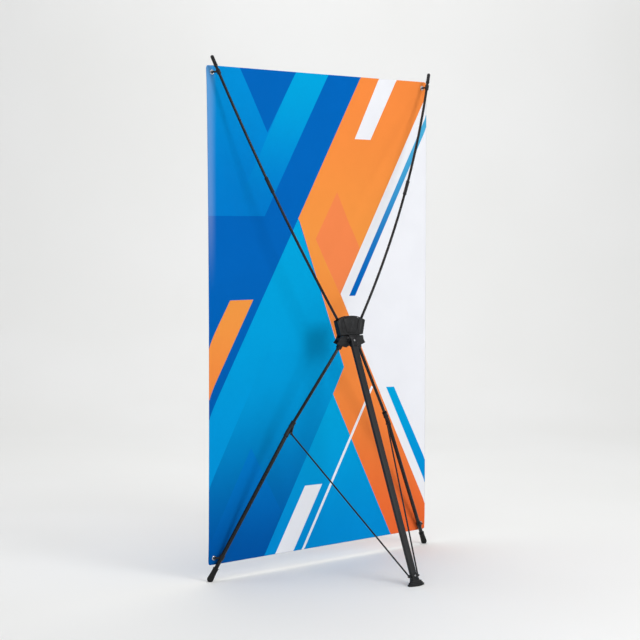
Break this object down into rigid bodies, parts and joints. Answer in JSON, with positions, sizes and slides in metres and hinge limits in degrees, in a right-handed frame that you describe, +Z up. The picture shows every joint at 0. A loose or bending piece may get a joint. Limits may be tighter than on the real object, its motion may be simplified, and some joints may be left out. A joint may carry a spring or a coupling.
{
  "type": "banner stand",
  "caption": "X-shaped banner stand with a rear leg, its printed sheet held by grommets on hooks at the ends of two bowed arms and two front legs; it folds flat.",
  "frame": {"origin": "on the floor, under the middle of the stand's width and depth", "axes": "+Z up; +X to the left as seen from behind, along the sheet's width; +Y backwards, from the sheet towards the rear leg"},
  "size_m": [1.2106, 0.6076, 2.1007],
  "materials": {
    "hub_plastic": "satin",
    "fitting_plastic": "satin",
    "fibreglass_rod": "gloss",
    "black_tube": "satin",
    "rear_tube_finish": "satin",
    "strut_finish": "satin",
    "black_rubber": "matte",
    "black_screw": "satin",
    "steel": "satin",
    "grommet_nickel": "satin",
    "printed_sheet": "matte"
  },
  "bodies": {
    "hub": {"hub_front": "hub_plastic", "hub_rear": "hub_plastic", "hub_panel": "hub_plastic", "hub_skirt": "hub_plastic", "arm_pins": "steel", "leg_pins": "steel", "rear_pin": "steel", "hub_screws": "black_screw"},
    "rear_leg": {"rear_knuckle": "fitting_plastic", "rear_tube": "rear_tube_finish", "rear_clamp_screws": "steel", "strut_bracket": "fitting_plastic", "rear_shoe": "fitting_plastic", "rear_sole": "black_rubber"},
    "left_arm": {"arm_knuckle_left": "fitting_plastic", "arm_lower_left": "fibreglass_rod", "ferrule_left": "fitting_plastic", "arm_upper_left": "fibreglass_rod", "tip_cap_left": "fitting_plastic", "top_hook_left": "fitting_plastic"},
    "left_front_leg": {"leg_knuckle_left": "fitting_plastic", "leg_rod_left": "fibreglass_rod", "joint_sleeve_left": "fitting_plastic", "leg_tube_left": "black_tube", "front_foot_left": "black_rubber", "bottom_hook_left": "fitting_plastic"},
    "left_runner": {"runner_left": "fitting_plastic", "strut_rivet_left": "black_screw"},
    "left_strut": {"strut_left": "strut_finish", "strut_end_rivet_left": "black_screw"},
    "right_arm": {"arm_knuckle_right": "fitting_plastic", "arm_lower_right": "fibreglass_rod", "ferrule_right": "fitting_plastic", "arm_upper_right": "fibreglass_rod", "tip_cap_right": "fitting_plastic", "top_hook_right": "fitting_plastic"},
    "right_front_leg": {"leg_knuckle_right": "fitting_plastic", "leg_rod_right": "fibreglass_rod", "joint_sleeve_right": "fitting_plastic", "leg_tube_right": "black_tube", "front_foot_right": "black_rubber", "bottom_hook_right": "fitting_plastic"},
    "right_runner": {"runner_right": "fitting_plastic", "strut_rivet_right": "black_screw"},
    "right_strut": {"strut_right": "strut_finish", "strut_end_rivet_right": "black_screw"},
    "banner": {"banner_sheet": "printed_sheet", "grommets": "grommet_nickel", "grommet_washers": "grommet_nickel"}
  },
  "joints": [
    {"name": "rear_leg_fold", "type": "hinge", "parent": "hub", "child": "rear_leg", "pos_m": [0, -0.10376, 0.969], "axis": [-1, 0, 0], "range_deg": [0, 27.81], "deforming": ["banner_sheet", "grommets", "grommet_washers"]},
    {"name": "left_front_leg_fold", "type": "hinge", "parent": "hub", "child": "left_front_leg", "pos_m": [0.03, -0.11776, 0.966], "axis": [0, 0.9842, -0.1773], "range_deg": [0, 27.51]},
    {"name": "left_arm_fold", "type": "hinge", "parent": "hub", "child": "left_arm", "pos_m": [0.032, -0.11776, 0.994], "axis": [0, -0.9984, -0.0558], "range_deg": [0, 26.51]},
    {"name": "left_runner_slide", "type": "slide", "parent": "left_front_leg", "child": "left_runner", "axis": [-0.5415, 0.149, 0.8274], "range_m": [0, 0.1978]},
    {"name": "left_strut_swing", "type": "hinge", "parent": "left_runner", "child": "left_strut", "pos_m": [0.26352, -0.17677, 0.58196], "axis": [-0.598, -0.5479, -0.585], "range_deg": [0, 64.23]},
    {"name": "right_front_leg_fold", "type": "hinge", "parent": "hub", "child": "right_front_leg", "pos_m": [-0.03, -0.11776, 0.966], "axis": [0, -0.9842, 0.1773], "range_deg": [0, 27.51]},
    {"name": "right_arm_fold", "type": "hinge", "parent": "hub", "child": "right_arm", "pos_m": [-0.032, -0.11776, 0.994], "axis": [0, 0.9984, 0.0558], "range_deg": [0, 26.51]},
    {"name": "right_runner_slide", "type": "slide", "parent": "right_front_leg", "child": "right_runner", "axis": [0.5415, 0.149, 0.8274], "range_m": [0, 0.1978]},
    {"name": "right_strut_swing", "type": "hinge", "parent": "right_runner", "child": "right_strut", "pos_m": [-0.26352, -0.17677, 0.58196], "axis": [-0.598, 0.5479, 0.585], "range_deg": [0, 64.23]},
    {"name": "banner_off", "type": "slide", "parent": "hub", "child": "banner", "axis": [0, -1, 0], "range_m": [0, 0.25]}
  ],
  "couplings": [
    {"joint": "left_front_leg_fold", "follows": "rear_leg_fold", "ratio": 0.989},
    {"joint": "left_arm_fold", "follows": "rear_leg_fold", "ratio": 0.95304},
    {"joint": "left_runner_slide", "follows": "rear_leg_fold", "m_per_rad": 0.40744},
    {"joint": "left_strut_swing", "follows": "rear_leg_fold", "ratio": 2.3098},
    {"joint": "right_front_leg_fold", "follows": "rear_leg_fold", "ratio": 0.989},
    {"joint": "right_arm_fold", "follows": "rear_leg_fold", "ratio": 0.95304},
    {"joint": "right_runner_slide", "follows": "rear_leg_fold", "m_per_rad": 0.40744},
    {"joint": "right_strut_swing", "follows": "rear_leg_fold", "ratio": 2.3098}
  ]
}
